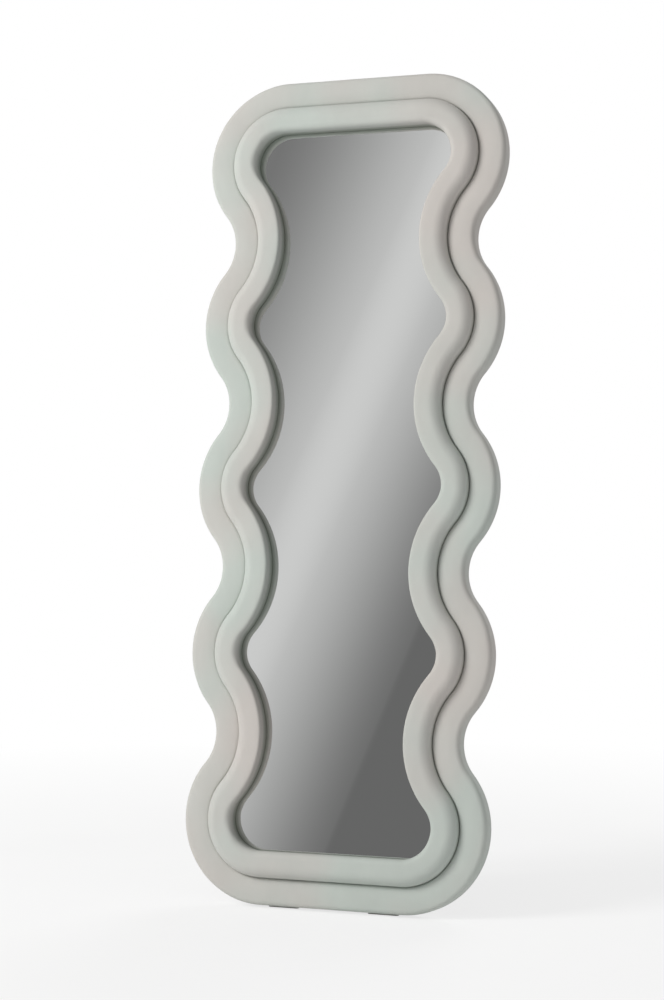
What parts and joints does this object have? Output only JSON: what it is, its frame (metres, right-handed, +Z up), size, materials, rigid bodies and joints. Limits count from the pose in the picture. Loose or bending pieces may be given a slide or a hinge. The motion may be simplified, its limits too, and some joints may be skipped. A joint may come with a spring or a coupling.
{
  "type": "cheval mirror",
  "caption": "Full-length leaning mirror in a wavy two-tier padded velvet frame, on a rear U-shaped stand that folds flat, with loose hanging rings near its top corners.",
  "frame": {"origin": "floor level, centre of the whole object's plan (frame and open stand together)", "axes": "+X to the right seen from the front, +Y towards the back, +Z up; the glass faces -Y and leans back 5.8 degrees"},
  "size_m": [0.6048, 0.4431, 1.5972],
  "materials": {
    "velvet": "short-pile velvet, soft sheen",
    "padding_foam": "open-cell foam",
    "packing_foam": "closed-cell foam sheet",
    "fibreboard": "raw medium-density fibreboard",
    "beech_wood": "raw beech",
    "hardboard": "dark pressed hardboard, smooth",
    "mirror_glass": "silvered float glass",
    "safety_film": "woven-backed plastic film",
    "zinc_steel": "bright zinc plating",
    "black_steel": "black powder coat",
    "white_nylon": "plain nylon",
    "black_plastic": "moulded, satin",
    "black_rubber": "moulded, matt",
    "pale_rubber": "moulded silicone rubber, matt"
  },
  "bodies": {
    "mirror": {"left_side_board": "fibreboard", "right_side_board": "fibreboard", "top_board": "fibreboard", "bottom_board": "fibreboard", "frame_dowels": "beech_wood", "edge_foam": "padding_foam", "outer_cover": "velvet", "cover_staples": "zinc_steel", "roll_board": "fibreboard", "inner_cover": "velvet", "roll_screws": "zinc_steel", "mirror_glass": "mirror_glass", "safety_film": "safety_film", "upper_packing_foam": "packing_foam", "lower_packing_foam": "packing_foam", "stand_rail": "beech_wood", "rail_dowels": "beech_wood", "back_panel": "hardboard", "panel_screws": "zinc_steel", "left_foot_pad": "pale_rubber", "right_foot_pad": "pale_rubber", "left_hinge_bracket": "black_steel", "right_hinge_bracket": "black_steel", "bracket_screws": "zinc_steel", "pivot_bolts": "zinc_steel", "pivot_nuts": "zinc_steel", "pivot_washers": "white_nylon", "left_hanger_strap": "zinc_steel", "right_hanger_strap": "zinc_steel", "hanger_screws": "zinc_steel", "left_outer_foam": "padding_foam", "left_inner_foam": "padding_foam", "right_outer_foam": "padding_foam", "right_inner_foam": "padding_foam", "top_outer_foam": "padding_foam", "top_inner_foam": "padding_foam", "bottom_outer_foam": "padding_foam", "bottom_inner_foam": "padding_foam"},
    "stand": {"stand_tube": "black_steel", "left_tube_plug": "black_plastic", "right_tube_plug": "black_plastic", "left_foot_sleeve": "black_rubber", "right_foot_sleeve": "black_rubber"},
    "left_ring": {"left_hanger_ring": "zinc_steel"},
    "right_ring": {"right_hanger_ring": "zinc_steel"}
  },
  "joints": [
    {"name": "stand_fold", "type": "hinge", "parent": "mirror", "child": "stand", "pos_m": [0, -0.0516, 0.95522], "axis": [-1, 0, 0], "range_deg": [0, 21.3]},
    {"name": "left_ring_swing", "type": "hinge", "parent": "mirror", "child": "left_ring", "pos_m": [-0.245, -0.01828, 1.41445], "axis": [1, 0, 0], "range_deg": [-4, 172]},
    {"name": "right_ring_swing", "type": "hinge", "parent": "mirror", "child": "right_ring", "pos_m": [0.245, -0.01828, 1.41445], "axis": [1, 0, 0], "range_deg": [-4, 172]}
  ]
}
